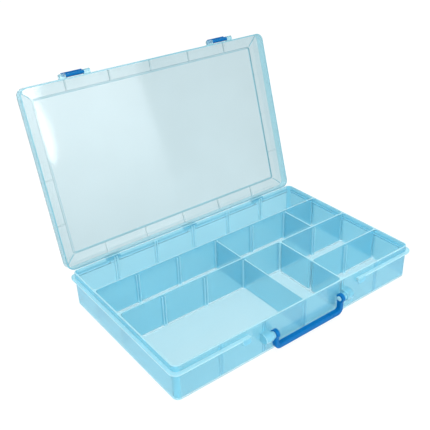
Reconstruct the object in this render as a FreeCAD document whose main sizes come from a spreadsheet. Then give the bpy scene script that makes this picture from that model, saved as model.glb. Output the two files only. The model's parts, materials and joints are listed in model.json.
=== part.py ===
"""Compartment box for art supplies: a hinged lid, two latches, a bail handle and loose dividers.

Millimetres. X runs along the long front, -Y is the front, +Z is up, and the origin is the centre
of the underside. Every piece is drawn with the lid closed and latched, then the lid and its
latches are swung open about the hinge.
"""
import FreeCAD
import Part
import Sketcher
import math
import os

# Driving dimensions: alias, value in millimetres or degrees, meaning
SIZES = [
    ("flange_length", 360.0, "base flange, outer length"),
    ("flange_width", 225.5, "base flange, outer width"),
    ("flange_corner", 9.0, "base flange, corner radius in plan"),
    ("flange_top", 38.5, "height of the flange's upper face"),
    ("flange_thick", 3.2, "flange thickness"),
    ("flange_round", 1.8, "rounding under the flange's edge"),
    ("wall_inset", 3.9, "flange edge to the outer face of the wall"),
    ("wall_thick", 1.8, "base wall thickness"),
    ("floor_thick", 2.0, "base floor thickness"),
    ("rim_height", 7.5, "rim above the flange, inside the lid"),
    ("rim_bevel", 0.5, "bevel of the rim's outer edge"),
    ("foot_bevel", 1.2, "bevel under the base"),
    ("bay_corner", 4.5, "corner radius of the compartments"),
    ("bay_bevel", 1.2, "bevel between floor and walls"),
    ("partition_thick", 1.8, "moulded partition thickness"),
    ("column_pitch", 59.0, "spacing of the slots along the box"),
    ("row_pitch", 56.5, "spacing of the rows across the box"),
    ("slot_clear", 0.3, "divider to slot rib, each side"),
    ("rib_thick", 1.2, "slot rib thickness"),
    ("rib_depth", 1.6, "slot rib, reach from the wall"),
    ("rib_drop", 2.5, "slot rib top below the rim"),
    ("divider_thick", 1.6, "loose divider thickness"),
    ("divider_drop", 1.6, "divider top below the rim"),
    ("divider_end", 0.4, "divider end to the wall"),
    ("divider_seat", 0.3, "divider foot to the floor"),
    ("divider_round", 2.0, "divider corner radius"),
    ("front_gap", 164.0, "length of the front without a flange"),
    ("tab_width", 10.8, "catch tab width"),
    ("tab_drop", 8.0, "catch tab height, from the flange's upper face down"),
    ("tab_thick", 2.4, "catch tab thickness"),
    ("tab_proud", 1.0, "catch tab beyond the flange edge"),
    ("tab_round", 2.5, "catch tab corner radius"),
    ("lid_inset", 1.6, "flange edge to the lid's outer face"),
    ("lid_corner", 9.5, "lid corner radius in plan"),
    ("lid_depth", 13.6, "lid depth"),
    ("lid_wall", 1.6, "lid wall thickness"),
    ("lid_round", 2.0, "rounding of the lid's upper edge"),
    ("mouth_gap", 0.3, "closed lid above the flange"),
    ("band_side", 16.0, "lid border width, left and right"),
    ("band_front", 14.9, "lid border width, front and rear"),
    ("crown", 0.8, "fall of the lid border to its edge"),
    ("panel_rise", 1.0, "lid panel above its border"),
    ("panel_corner", 4.0, "lid panel corner radius in plan"),
    ("gusset_thick", 1.4, "lid gusset rib thickness"),
    ("gusset_drop", 1.8, "lid gusset rib height at the skirt"),
    ("gusset_toe", 0.8, "lid gusset rib height at the panel"),
    ("lid_open", 106.0, "opening angle of the lid at its stop"),
    ("hinge_offset", 2.75, "hinge axis behind the lid's rear face"),
    ("hinge_rise", 0.8, "hinge axis above the lid's mouth"),
    ("hinge_bar", 1.5, "hinge bar radius"),
    ("hinge_play", 0.05, "hinge bar to clip, radial"),
    ("hinge_spacing", 118.0, "spacing of the three hinges"),
    ("clip_width", 12.0, "hinge clip width"),
    ("clip_wall", 1.2, "hinge clip wall"),
    ("clip_mouth", 110.0, "hinge clip opening angle"),
    ("clip_turn", -45.0, "direction of the hinge clip's opening, from the rear up"),
    ("knuckle_width", 3.0, "hinge lug width"),
    ("knuckle_gap", 0.3, "hinge lug to clip, and to the lid's face"),
    ("notch_gap", 0.5, "hinge clip to the notch in the flange"),
    ("stop_length", 4.0, "length of the lid stop behind the hinge"),
    ("stop_lip", 1.4, "thickness of the lid stop at its end"),
    ("latch_centre", 106.8, "latch middle from the box's middle"),
    ("latch_width", 23.6, "latch width at its pivot"),
    ("latch_foot", 27.0, "latch width at its hook"),
    ("latch_thick", 2.0, "latch plate thickness"),
    ("latch_offset", 3.0, "latch pivot in front of the lid's front face"),
    ("latch_rise", 3.0, "latch pivot above the lid's mouth"),
    ("latch_bar", 1.4, "latch bar radius"),
    ("latch_play", 0.05, "latch bar to barrel, radial"),
    ("barrel_wall", 1.15, "latch barrel wall"),
    ("barrel_mouth", 80.0, "latch barrel opening angle"),
    ("barrel_turn", 20.0, "direction of the barrel's opening, from the rear up"),
    ("hook_reach", 3.4, "latch hook, reach behind the plate"),
    ("hook_height", 3.4, "latch hook height"),
    ("hook_gap", 0.3, "latch hook under the flange"),
    ("latch_round", 2.5, "latch corner radius"),
    ("latch_side", 0.3, "latch to lug, each side"),
    ("latch_fold", 180.0, "latch angle when folded back"),
    ("lug_width", 7.8, "latch lug width"),
    ("lug_radius", 2.6, "latch lug nose radius"),
    ("collar_length", 4.2, "shoulder between boss and handle, length"),
    ("boss_length", 10.0, "handle boss length"),
    ("boss_radius", 5.6, "handle boss nose radius"),
    ("collar_radius", 4.3, "shoulder between boss and handle, radius"),
    ("pin_height", 27.3, "handle pin height"),
    ("pin_offset", 6.6, "handle pin in front of the wall"),
    ("pin_radius", 3.0, "handle pin radius"),
    ("pin_play", 0.06, "handle pin to hook, radial"),
    ("pin_end", 0.6, "handle pin beyond the hook"),
    ("handle_span", 104.4, "handle width over its arms"),
    ("handle_drop", 21.0, "handle pin to the underside of the grip"),
    ("grip_thick", 6.2, "handle grip, height"),
    ("arm_thick", 5.2, "handle arm thickness"),
    ("handle_width", 6.8, "handle strap width, front to rear"),
    ("handle_corner", 8.0, "handle outer corner radius"),
    ("window_corner", 3.0, "handle inner corner radius"),
    ("handle_round", 1.3, "rounding of the handle's outer edges"),
    ("handle_bevel", 0.9, "bevel of the handle's inner edges"),
    ("handle_side", 0.4, "handle arm to shoulder, each side"),
    ("eye_width", 4.2, "handle hook width"),
    ("eye_wall", 2.4, "handle hook wall"),
    ("eye_mouth", 60.0, "handle hook opening angle"),
    ("eye_turn", -14.0, "direction of the hook's opening, from the wall up"),
    ("eye_lip", 1.0, "lead-in lip of the handle hook"),
]

doc = FreeCAD.newDocument("art_supply_box")
sheet = doc.addObject("Spreadsheet::Sheet", "Sizes")
for row, (alias, value, meaning) in enumerate(SIZES, 1):
    sheet.set(f"A{row}", meaning)
    sheet.set(f"B{row}", str(value))
    sheet.setAlias(f"B{row}", alias)
doc.recompute()

# Places that several pieces share, as expressions on the sheet
RIM_TOP = "(Sizes.flange_top + Sizes.rim_height)"
FLANGE_X = "(Sizes.flange_length / 2)"
FLANGE_Y = "(Sizes.flange_width / 2)"
WALL_X = "(Sizes.flange_length / 2 - Sizes.wall_inset)"
WALL_Y = "(Sizes.flange_width / 2 - Sizes.wall_inset)"
INNER_X = f"({WALL_X} - Sizes.wall_thick)"
INNER_Y = f"({WALL_Y} - Sizes.wall_thick)"
HALF_PARTITION = "(Sizes.partition_thick / 2)"
LID_X = "(Sizes.flange_length / 2 - Sizes.lid_inset)"
LID_Y = "(Sizes.flange_width / 2 - Sizes.lid_inset)"
MOUTH = "(Sizes.flange_top + Sizes.mouth_gap)"
LID_TOP = f"({MOUTH} + Sizes.lid_depth)"
HINGE_Y = f"({LID_Y} + Sizes.hinge_offset)"
HINGE_Z = f"({MOUTH} + Sizes.hinge_rise)"
LATCH_Z = f"({MOUTH} + Sizes.latch_rise)"
HOOK_TOP = "(Sizes.flange_top - Sizes.flange_thick - Sizes.hook_gap)"
LATCH_FOOT = f"({HOOK_TOP} - Sizes.hook_height)"
LATCH_LEAN = f"(({LATCH_Z} - {LATCH_FOOT}) * sin(max(0; Sizes.latch_fold - 180) * 1 deg))"
LATCH_Y = f"(-{LID_Y} - Sizes.latch_offset - {LATCH_LEAN})"
PIN_Y = f"(-{WALL_Y} - Sizes.pin_offset)"
PIN_Z = "Sizes.pin_height"
ARM_X = "(Sizes.handle_span / 2)"
EYE_X = f"({ARM_X} - Sizes.eye_width)"
COLLAR_X = f"({ARM_X} + Sizes.handle_side)"
BOSS_X = f"({COLLAR_X} + Sizes.collar_length)"

# Two places closer than this count as the same place when edges are picked out
NEAR = 1e-3


def number(expression):
    """The present value of an expression on the sheet."""
    return float(sheet.evalExpression(expression))


def origin_feature(body, role):
    """One of the body's own base planes or axes."""
    return next(item for item in body.Origin.OriginFeatures if item.Role == role)


def new_body(label):
    """An empty body that carries the sub-part's name."""
    body = doc.addObject("PartDesign::Body", label)
    body.Label = label
    return body


def new_sketch(body, name, role, shift="0"):
    """A sketch on a base plane of the body, moved along the plane's normal."""
    sketch = body.newObject("Sketcher::SketchObject", name)
    sketch.AttachmentSupport = (origin_feature(body, role), "")
    sketch.MapMode = "FlatFace"
    sketch.setExpression("AttachmentOffset.Base.z", shift)
    return sketch


def dimension(sketch, kind, references, expression, factor=1.0, unit=""):
    """Adds one dimension to the sketch and binds it to the sheet."""
    value = number(expression) * factor
    index = sketch.addConstraint(Sketcher.Constraint(kind, *references, value))
    sketch.renameConstraint(index, f"size_{index}")
    sketch.setExpression(f"Constraints.size_{index}", f"({expression}){unit}")


def place_point(sketch, item, end, across, up):
    """Dimensions one point of the sketch from the sketch's origin."""
    dimension(sketch, "DistanceX", (-1, 1, item, end), across)
    dimension(sketch, "DistanceY", (-1, 1, item, end), up)


def add_line(sketch, start, finish):
    """A straight edge between two points of the sketch."""
    return sketch.addGeometry(Part.LineSegment(FreeCAD.Vector(*start), FreeCAD.Vector(*finish)))


def add_arc(sketch, centre, radius, first, last):
    """A round edge, counter-clockwise between two angles in degrees."""
    ring = Part.Circle(FreeCAD.Vector(*centre), FreeCAD.Vector(0, 0, 1), radius)
    return sketch.addGeometry(Part.ArcOfCircle(ring, math.radians(first), math.radians(last)))


def join(sketch, kind, first, second):
    """Joins the end of one edge to the start of the next; each is (edge, end)."""
    sketch.addConstraint(Sketcher.Constraint(kind, *first, *second))


def polygon(sketch, corners):
    """A closed outline of straight edges, every corner dimensioned."""
    points = [(number(across), number(up), 0) for across, up in corners]
    following = points[1:] + points[:1]
    edges = [add_line(sketch, start, finish) for start, finish in zip(points, following)]
    for edge, after in zip(edges, edges[1:] + edges[:1]):
        join(sketch, "Coincident", (edge, 2), (after, 1))
    for edge, (across, up) in zip(edges, corners):
        place_point(sketch, edge, 1, across, up)


def rectangle(sketch, left, right, low, high):
    """A plain rectangle."""
    polygon(sketch, [(left, low), (right, low), (right, high), (left, high)])


def rounded_rectangle(sketch, left, right, low, high, radius):
    """A rectangle with four equal round corners."""
    x0, x1, y0, y1, r = [number(item) for item in (left, right, low, high, radius)]
    bottom = add_line(sketch, (x0 + r, y0, 0), (x1 - r, y0, 0))
    corner_a = add_arc(sketch, (x1 - r, y0 + r, 0), r, -90, 0)
    side_b = add_line(sketch, (x1, y0 + r, 0), (x1, y1 - r, 0))
    corner_b = add_arc(sketch, (x1 - r, y1 - r, 0), r, 0, 90)
    top = add_line(sketch, (x1 - r, y1, 0), (x0 + r, y1, 0))
    corner_c = add_arc(sketch, (x0 + r, y1 - r, 0), r, 90, 180)
    side_d = add_line(sketch, (x0, y1 - r, 0), (x0, y0 + r, 0))
    corner_d = add_arc(sketch, (x0 + r, y0 + r, 0), r, 180, 270)
    chain = [bottom, corner_a, side_b, corner_b, top, corner_c, side_d, corner_d]
    for edge, after in zip(chain, chain[1:] + chain[:1]):
        join(sketch, "Tangent", (edge, 2), (after, 1))
    for edge in (bottom, top):
        sketch.addConstraint(Sketcher.Constraint("Horizontal", edge))
    for edge in (side_b, side_d):
        sketch.addConstraint(Sketcher.Constraint("Vertical", edge))
    for corner in (corner_b, corner_c, corner_d):
        sketch.addConstraint(Sketcher.Constraint("Equal", corner_a, corner))
    dimension(sketch, "Radius", (corner_a,), radius)
    dimension(sketch, "DistanceX", (-1, 1, side_d, 1), left)
    dimension(sketch, "DistanceX", (-1, 1, side_b, 1), right)
    dimension(sketch, "DistanceY", (-1, 1, bottom, 1), low)
    dimension(sketch, "DistanceY", (-1, 1, top, 1), high)


def circle(sketch, across, up, radius):
    """A full circle."""
    middle = FreeCAD.Vector(number(across), number(up), 0)
    ring = sketch.addGeometry(Part.Circle(middle, FreeCAD.Vector(0, 0, 1), number(radius)))
    dimension(sketch, "Radius", (ring,), radius)
    place_point(sketch, ring, 3, across, up)


def nose(sketch, root, across, up, radius):
    """A lug that runs from its root towards -Y and ends in a half circle."""
    y0, y1, z, r = [number(item) for item in (root, across, up, radius)]
    top = add_line(sketch, (y0, z + r, 0), (y1, z + r, 0))
    tip = add_arc(sketch, (y1, z, 0), r, 90, 270)
    under = add_line(sketch, (y1, z - r, 0), (y0, z - r, 0))
    back = add_line(sketch, (y0, z - r, 0), (y0, z + r, 0))
    join(sketch, "Tangent", (top, 2), (tip, 1))
    join(sketch, "Tangent", (tip, 2), (under, 1))
    join(sketch, "Coincident", (under, 2), (back, 1))
    join(sketch, "Coincident", (back, 2), (top, 1))
    sketch.addConstraint(Sketcher.Constraint("Horizontal", top))
    sketch.addConstraint(Sketcher.Constraint("Vertical", back))
    dimension(sketch, "Radius", (tip,), radius)
    place_point(sketch, tip, 3, across, up)
    dimension(sketch, "DistanceX", (-1, 1, back, 1), root)


def snap_ring(sketch, across, up, bore, outer, turn, mouth):
    """A C-shaped ring round a bar, open over an angle centred on a direction."""
    y, z, small, large = [number(item) for item in (across, up, bore, outer)]
    first_side = f"({turn} + {mouth} / 2)"
    last_side = f"({turn} - {mouth} / 2 + 360)"
    first, last = number(first_side), number(last_side)

    def polar(radius, angle):
        bearing = math.radians(angle)
        return (y + radius * math.cos(bearing), z + radius * math.sin(bearing), 0)

    rim = add_arc(sketch, (y, z, 0), large, first, last)
    bed = add_arc(sketch, (y, z, 0), small, first, last)
    opening = add_line(sketch, polar(small, first), polar(large, first))
    closing = add_line(sketch, polar(small, last), polar(large, last))
    join(sketch, "Coincident", (opening, 2), (rim, 1))
    join(sketch, "Coincident", (opening, 1), (bed, 1))
    join(sketch, "Coincident", (closing, 2), (rim, 2))
    join(sketch, "Coincident", (closing, 1), (bed, 2))
    join(sketch, "Coincident", (rim, 3), (bed, 3))
    place_point(sketch, rim, 3, across, up)
    dimension(sketch, "Radius", (rim,), outer)
    dimension(sketch, "Radius", (bed,), bore)
    for edge, side in ((opening, first_side), (closing, last_side)):
        sketch.addConstraint(Sketcher.Constraint("PointOnObject", rim, 3, edge))
        dimension(sketch, "Angle", (edge,), side, math.pi / 180, " * 1 deg")


def pad(body, name, sketch, length, centred=False, reverse=False):
    """Adds material over the sketch."""
    feature = body.newObject("PartDesign::Pad", name)
    feature.Profile = sketch
    feature.setExpression("Length", length)
    feature.Midplane = centred
    feature.Reversed = reverse
    sketch.Visibility = False
    doc.recompute()
    return feature


def pocket(body, name, sketch, length, centred=False, reverse=False):
    """Cuts the sketch away and makes sure that something was cut."""
    doc.recompute()
    before = body.Shape.Volume
    feature = body.newObject("PartDesign::Pocket", name)
    feature.Profile = sketch
    feature.setExpression("Length", length)
    feature.Midplane = centred
    feature.Reversed = reverse
    sketch.Visibility = False
    doc.recompute()
    if not body.Shape.Volume < before:
        raise RuntimeError(f"{name} cuts nothing from {body.Label}")
    return feature


def mirror(body, name, features):
    """Repeats features on the other side of the box's middle plane."""
    feature = body.newObject("PartDesign::Mirrored", name)
    feature.Originals = features
    feature.MirrorPlane = (origin_feature(body, "YZ_Plane"), [""])
    body.Tip = feature
    doc.recompute()
    return feature


def row_of(body, name, features, axis, pitch, count):
    """Repeats features along an axis."""
    feature = body.newObject("PartDesign::LinearPattern", name)
    feature.Originals = features
    feature.Direction = (origin_feature(body, axis), [""])
    feature.Occurrences = count
    feature.setExpression("Length", f"{pitch} * {count - 1}")
    body.Tip = feature
    doc.recompute()
    return feature


def dress_edges(body, kind, name, belongs):
    """A fillet or chamfer over the edges of the body that a test picks out."""
    doc.recompute()
    base = body.Tip
    names = [f"Edge{index}" for index, edge in enumerate(base.Shape.Edges, 1) if belongs(edge)]
    feature = body.newObject(kind, name)
    feature.Base = (base, names)
    return feature


def soften(body, name, radius, belongs):
    """Rounds the edges of the body that a test picks out."""
    feature = dress_edges(body, "PartDesign::Fillet", name, belongs)
    feature.setExpression("Radius", radius)
    doc.recompute()


def bevel(body, name, size, belongs):
    """Bevels the edges of the body that a test picks out."""
    feature = dress_edges(body, "PartDesign::Chamfer", name, belongs)
    feature.setExpression("Size", size)
    doc.recompute()


def level(edge, height):
    """Whether an edge lies flat at a height."""
    box = edge.BoundBox
    return abs(box.ZMin - height) < NEAR and abs(box.ZMax - height) < NEAR


def crosswise(edge):
    """Whether an edge runs straight from front to rear."""
    box = edge.BoundBox
    return box.XLength < NEAR and box.ZLength < NEAR


def base_tray():
    """Floor, walls, flange, rim, partitions, slot ribs, tabs, handle bosses and hinge lugs."""
    body = new_body("base_tray")

    outline = new_sketch(body, "wall_outline", "XY_Plane")
    corner = "(Sizes.lid_corner - Sizes.wall_inset + Sizes.lid_inset)"
    rounded_rectangle(outline, f"-{WALL_X}", WALL_X, f"-{WALL_Y}", WALL_Y, corner)
    pad(body, "block", outline, RIM_TOP)
    bevel(body, "foot_edge", "Sizes.foot_bevel", lambda edge: level(edge, 0))
    rim = number(RIM_TOP)
    bevel(body, "rim_edge", "Sizes.rim_bevel", lambda edge: level(edge, rim))

    ledge = new_sketch(body, "flange_outline", "XY_Plane", "Sizes.flange_top")
    rounded_rectangle(ledge, f"-{FLANGE_X}", FLANGE_X, f"-{FLANGE_Y}", FLANGE_Y, "Sizes.flange_corner")
    pad(body, "flange", ledge, "Sizes.flange_thick", reverse=True)
    under = number("Sizes.flange_top - Sizes.flange_thick")
    wall_x, wall_y = number(WALL_X), number(WALL_Y)

    def flange_edge(edge):
        box = edge.BoundBox
        beside = max(box.XMax, -box.XMin) > wall_x + NEAR
        before = max(box.YMax, -box.YMin) > wall_y + NEAR
        return level(edge, under) and (beside or before)

    soften(body, "flange_under", "Sizes.flange_round", flange_edge)

    gap = new_sketch(body, "front_gap_outline", "XY_Plane", "Sizes.flange_top")
    rectangle(gap, "-Sizes.front_gap / 2", "Sizes.front_gap / 2",
              f"-{FLANGE_Y} - Sizes.wall_inset", f"-{WALL_Y}")
    pocket(body, "front_gap", gap, "Sizes.flange_thick")

    catch_tabs(body)
    handle_bosses(body)
    hinge_lugs(body)
    compartments(body)
    slot_ribs(body)
    return body


def compartments(body):
    """Five moulded bays: two full rows behind, and three bays in front of the middle partition."""
    bays = new_sketch(body, "bay_outlines", "XY_Plane", RIM_TOP)
    row, column = "Sizes.row_pitch", "Sizes.column_pitch"
    for left, right, low, high in [
            (f"-{INNER_X}", INNER_X, f"{row} + {HALF_PARTITION}", INNER_Y),
            (f"-{INNER_X}", INNER_X, HALF_PARTITION, f"{row} - {HALF_PARTITION}"),
            (f"-{INNER_X}", f"{column} - {HALF_PARTITION}", f"-{INNER_Y}", f"-{HALF_PARTITION}"),
            (f"{column} + {HALF_PARTITION}", INNER_X, f"-{row} + {HALF_PARTITION}", f"-{HALF_PARTITION}"),
            (f"{column} + {HALF_PARTITION}", INNER_X, f"-{INNER_Y}", f"-{row} - {HALF_PARTITION}")]:
        rounded_rectangle(bays, left, right, low, high, "Sizes.bay_corner")
    pocket(body, "bays", bays, f"{RIM_TOP} - Sizes.floor_thick")
    floor = number("Sizes.floor_thick")
    bevel(body, "bay_floors", "Sizes.bay_bevel", lambda edge: level(edge, floor))


def slot_ribs(body):
    """Pairs of upright ribs that hold a divider at each station along the walls."""
    reach = f"({HALF_PARTITION} + Sizes.rib_depth)"
    row = "Sizes.row_pitch"
    rear_wall = (f"{INNER_Y} - Sizes.rib_depth", f"{INNER_Y} + Sizes.wall_thick / 2")
    front_wall = (f"-{INNER_Y} - Sizes.wall_thick / 2", f"-{INNER_Y} + Sizes.rib_depth")
    rear_partition = (f"{row} - {reach}", f"{row} + {reach}")
    middle_partition = (f"-{reach}", reach)
    middle_rear_face = ("0", reach)
    front_partition = (f"-{row} - {reach}", f"-{row} + {reach}")
    half_slot = "(Sizes.divider_thick / 2 + Sizes.slot_clear)"
    height = f"{RIM_TOP} - Sizes.rib_drop - Sizes.floor_thick / 2"

    def station(name, middle, walls):
        sketch = new_sketch(body, f"{name}_outline", "XY_Plane", "Sizes.floor_thick / 2")
        left_face, right_face = f"{middle} - {half_slot}", f"{middle} + {half_slot}"
        for low, high in walls:
            rectangle(sketch, f"{left_face} - Sizes.rib_thick", left_face, low, high)
            rectangle(sketch, right_face, f"{right_face} + Sizes.rib_thick", low, high)
        return pad(body, name, sketch, height)

    left = station("left_slots", "-2 * Sizes.column_pitch",
                   [rear_wall, rear_partition, middle_partition, front_wall])
    row_of(body, "slot_row", [left], "X_Axis", "Sizes.column_pitch", 3)
    station("inner_slots", "Sizes.column_pitch", [rear_wall, rear_partition, middle_rear_face])
    station("right_slots", "2 * Sizes.column_pitch",
            [rear_wall, rear_partition, middle_partition, front_partition, front_wall])


def catch_tabs(body):
    """Turned-down ends of the flange beside the latches."""
    sketch = new_sketch(body, "tab_outlines", "XZ_Plane", f"{FLANGE_Y} + Sizes.tab_proud")
    start = "Sizes.front_gap / 2"
    finish = f"({start} + Sizes.tab_width)"
    low = "Sizes.flange_top - Sizes.tab_drop"
    rectangle(sketch, start, finish, low, "Sizes.flange_top")
    rectangle(sketch, f"-{finish}", f"-{start}", low, "Sizes.flange_top")
    pad(body, "tabs", sketch, "Sizes.tab_thick", reverse=True)
    bottom = number(low)
    soften(body, "tab_corners", "Sizes.tab_round", lambda edge: level(edge, bottom) and crosswise(edge))


def handle_bosses(body):
    """Round-nosed bosses on the front wall, each with a shoulder and the handle's pin."""
    root = f"(-{WALL_Y} + Sizes.wall_thick / 2)"
    outline = new_sketch(body, "boss_outline", "YZ_Plane", BOSS_X)
    nose(outline, root, PIN_Y, PIN_Z, "Sizes.boss_radius")
    boss = pad(body, "boss", outline, "Sizes.boss_length")
    collar_outline = new_sketch(body, "collar_outline", "YZ_Plane", COLLAR_X)
    circle(collar_outline, PIN_Y, PIN_Z, "Sizes.collar_radius")
    collar = pad(body, "collar", collar_outline, "Sizes.collar_length + Sizes.boss_length / 2")
    tip = f"({EYE_X} - Sizes.pin_end)"
    pin_outline = new_sketch(body, "pin_outline", "YZ_Plane", tip)
    circle(pin_outline, PIN_Y, PIN_Z, "Sizes.pin_radius")
    pin = pad(body, "pin", pin_outline, f"{BOSS_X} - {tip} + Sizes.boss_length / 2")
    mirror(body, "boss_pair", [boss, collar, pin])


def hinge_lugs(body):
    """Pairs of lugs with a round bar, a notch for the lid's clip and a stop for the open lid."""
    first = "-Sizes.hinge_spacing"
    bay = "(Sizes.clip_width / 2 + Sizes.knuckle_gap)"
    outer = "(Sizes.hinge_bar + Sizes.hinge_play + Sizes.clip_wall)"
    notch_outline = new_sketch(body, "notch_outline", "XY_Plane", "Sizes.flange_top")
    rectangle(notch_outline, f"{first} - {bay}", f"{first} + {bay}",
              f"{HINGE_Y} - {outer} - Sizes.notch_gap", f"{FLANGE_Y} + Sizes.wall_inset")
    notch = pocket(body, "notch", notch_outline, "Sizes.flange_thick")
    row_of(body, "notches", [notch], "X_Axis", "Sizes.hinge_spacing", 3)

    lugs = []
    for name, inner_face in (("left_lug", f"{first} - {bay} - Sizes.knuckle_width"),
                             ("right_lug", f"{first} + {bay}")):
        sketch = new_sketch(body, f"{name}_outline", "YZ_Plane", inner_face)
        lug_profile(sketch)
        lugs.append(pad(body, name, sketch, "Sizes.knuckle_width"))
    bar_outline = new_sketch(body, "hinge_bar_outline", "YZ_Plane",
                             f"{first} - {bay} - Sizes.knuckle_width / 2")
    circle(bar_outline, HINGE_Y, HINGE_Z, "Sizes.hinge_bar")
    bar = pad(body, "hinge_bar", bar_outline, f"2 * {bay} + Sizes.knuckle_width")
    row_of(body, "hinges", lugs + [bar], "X_Axis", "Sizes.hinge_spacing", 3)


def lug_profile(sketch):
    """A hinge lug: up from the flange, round the hinge axis, then back along the lid stop."""
    radius = "(Sizes.hinge_offset - Sizes.knuckle_gap)"
    y, z, r = number(HINGE_Y), number(HINGE_Z), number(radius)
    low = number("Sizes.flange_top - Sizes.flange_thick")
    lean = number("Sizes.lid_open") - 90
    slope = math.radians(lean)
    length, lip = number("Sizes.stop_length"), number("Sizes.stop_lip")
    crest = (y + r * math.sin(slope), z + r * math.cos(slope), 0)
    tail = (crest[0] + length * math.cos(slope), crest[1] - length * math.sin(slope), 0)
    heel = (tail[0], tail[1] - lip, 0)
    root = (number(FLANGE_Y), low, 0)
    front = add_line(sketch, (y - r, low, 0), root)
    gusset = add_line(sketch, root, heel)
    end = add_line(sketch, heel, tail)
    stop = add_line(sketch, tail, crest)
    crown = add_arc(sketch, (y, z, 0), r, 90 - lean, 180)
    face = add_line(sketch, (y - r, z, 0), (y - r, low, 0))
    join(sketch, "Coincident", (front, 2), (gusset, 1))
    join(sketch, "Coincident", (gusset, 2), (end, 1))
    join(sketch, "Coincident", (end, 2), (stop, 1))
    join(sketch, "Tangent", (stop, 2), (crown, 1))
    join(sketch, "Tangent", (crown, 2), (face, 1))
    join(sketch, "Coincident", (face, 2), (front, 1))
    sketch.addConstraint(Sketcher.Constraint("Horizontal", front))
    sketch.addConstraint(Sketcher.Constraint("Vertical", face))
    sketch.addConstraint(Sketcher.Constraint("Vertical", end))
    place_point(sketch, crown, 3, HINGE_Y, HINGE_Z)
    dimension(sketch, "Radius", (crown,), radius)
    dimension(sketch, "Angle", (stop,), "270 - Sizes.lid_open", math.pi / 180, " * 1 deg")
    dimension(sketch, "Distance", (stop,), "Sizes.stop_length")
    dimension(sketch, "DistanceY", (end, 1, end, 2), "Sizes.stop_lip")
    place_point(sketch, front, 2, FLANGE_Y, "Sizes.flange_top - Sizes.flange_thick")


def crowned_block(body, inset, lower, floor):
    """A block with the lid's plan: a raised panel in a border that falls away with mitred corners."""
    half_x, half_y = f"({LID_X} - {inset})", f"({LID_Y} - {inset})"
    top = f"({LID_TOP} - {lower})"
    plan = new_sketch(body, "plan", "XY_Plane", floor)
    rounded_rectangle(plan, f"-{half_x}", half_x, f"-{half_y}", half_y, f"Sizes.lid_corner - {inset}")
    pad(body, "block", plan, f"{top} - {floor}")
    upper = number(top)
    soften(body, "upper_edge", f"Sizes.lid_round - {inset} / 2", lambda edge: level(edge, upper))
    over = "Sizes.lid_wall"
    for name, role, edge_line, band in (("front_rear", "YZ_Plane", LID_Y, "Sizes.band_front"),
                                        ("left_right", "XZ_Plane", LID_X, "Sizes.band_side")):
        fall = new_sketch(body, f"{name}_fall", role)
        low = f"{top} - Sizes.crown * (1 + {over} / {band})"
        for sign in ("-", ""):
            crease = f"{sign}({edge_line} - {band})"
            rim = f"{sign}({edge_line} + {over})"
            polygon(fall, [(crease, top), (rim, top), (rim, low)])
        length = FLANGE_X if role == "YZ_Plane" else FLANGE_Y
        pocket(body, f"{name}_slope", fall, f"2 * {length}", centred=True)
    panel = new_sketch(body, "panel_outline", "XY_Plane", top)
    panel_x = f"({LID_X} - Sizes.band_side - {inset})"
    panel_y = f"({LID_Y} - Sizes.band_front - {inset})"
    rounded_rectangle(panel, f"-{panel_x}", panel_x, f"-{panel_y}", panel_y, f"Sizes.panel_corner - {inset}")
    pad(body, "panel", panel, "Sizes.panel_rise")


def lid():
    """Clear lid: crowned tray, gussets, hinge clips at the rear and latch lugs at the front."""
    hollow = new_body("lid_hollow")
    crowned_block(hollow, "Sizes.lid_wall", "Sizes.lid_wall", f"({MOUTH} - Sizes.lid_wall)")
    body = new_body("lid")
    crowned_block(body, "0", "0", MOUTH)
    cavity = body.newObject("PartDesign::Boolean", "cavity")
    cavity.Type = "Cut"
    cavity.setObjects([hollow])
    doc.recompute()

    gussets(body)
    hinge_clips(body)
    latch_lugs(body)
    return body


def gussets(body):
    """Short ribs across the lid's border, inside, in line with the slots and rows of the base."""
    ceiling = f"({LID_TOP} - Sizes.lid_wall)"
    bite = "Sizes.lid_wall / 2"
    for name, role, first, edge_line, band, axis, pitch, count in (
            ("long", "YZ_Plane", "-2 * Sizes.column_pitch", LID_Y, "Sizes.band_front",
             "X_Axis", "Sizes.column_pitch", 5),
            ("short", "XZ_Plane", "Sizes.row_pitch", LID_X, "Sizes.band_side",
             "Y_Axis", "Sizes.row_pitch", 3)):
        sketch = new_sketch(body, f"{name}_gusset_outline", role, first)
        for sign in ("-", ""):
            skirt = f"{sign}({edge_line} - {bite})"
            crease = f"{sign}({edge_line} - {band})"
            polygon(sketch, [(crease, f"{ceiling} - Sizes.gusset_toe"), (crease, f"{ceiling} + {bite}"),
                             (skirt, f"{ceiling} + {bite} - Sizes.crown"),
                             (skirt, f"{ceiling} - Sizes.crown - Sizes.gusset_drop")])
        rib = pad(body, f"{name}_gusset", sketch, "Sizes.gusset_thick", centred=True)
        row_of(body, f"{name}_gussets", [rib], axis, pitch, count)


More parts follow.
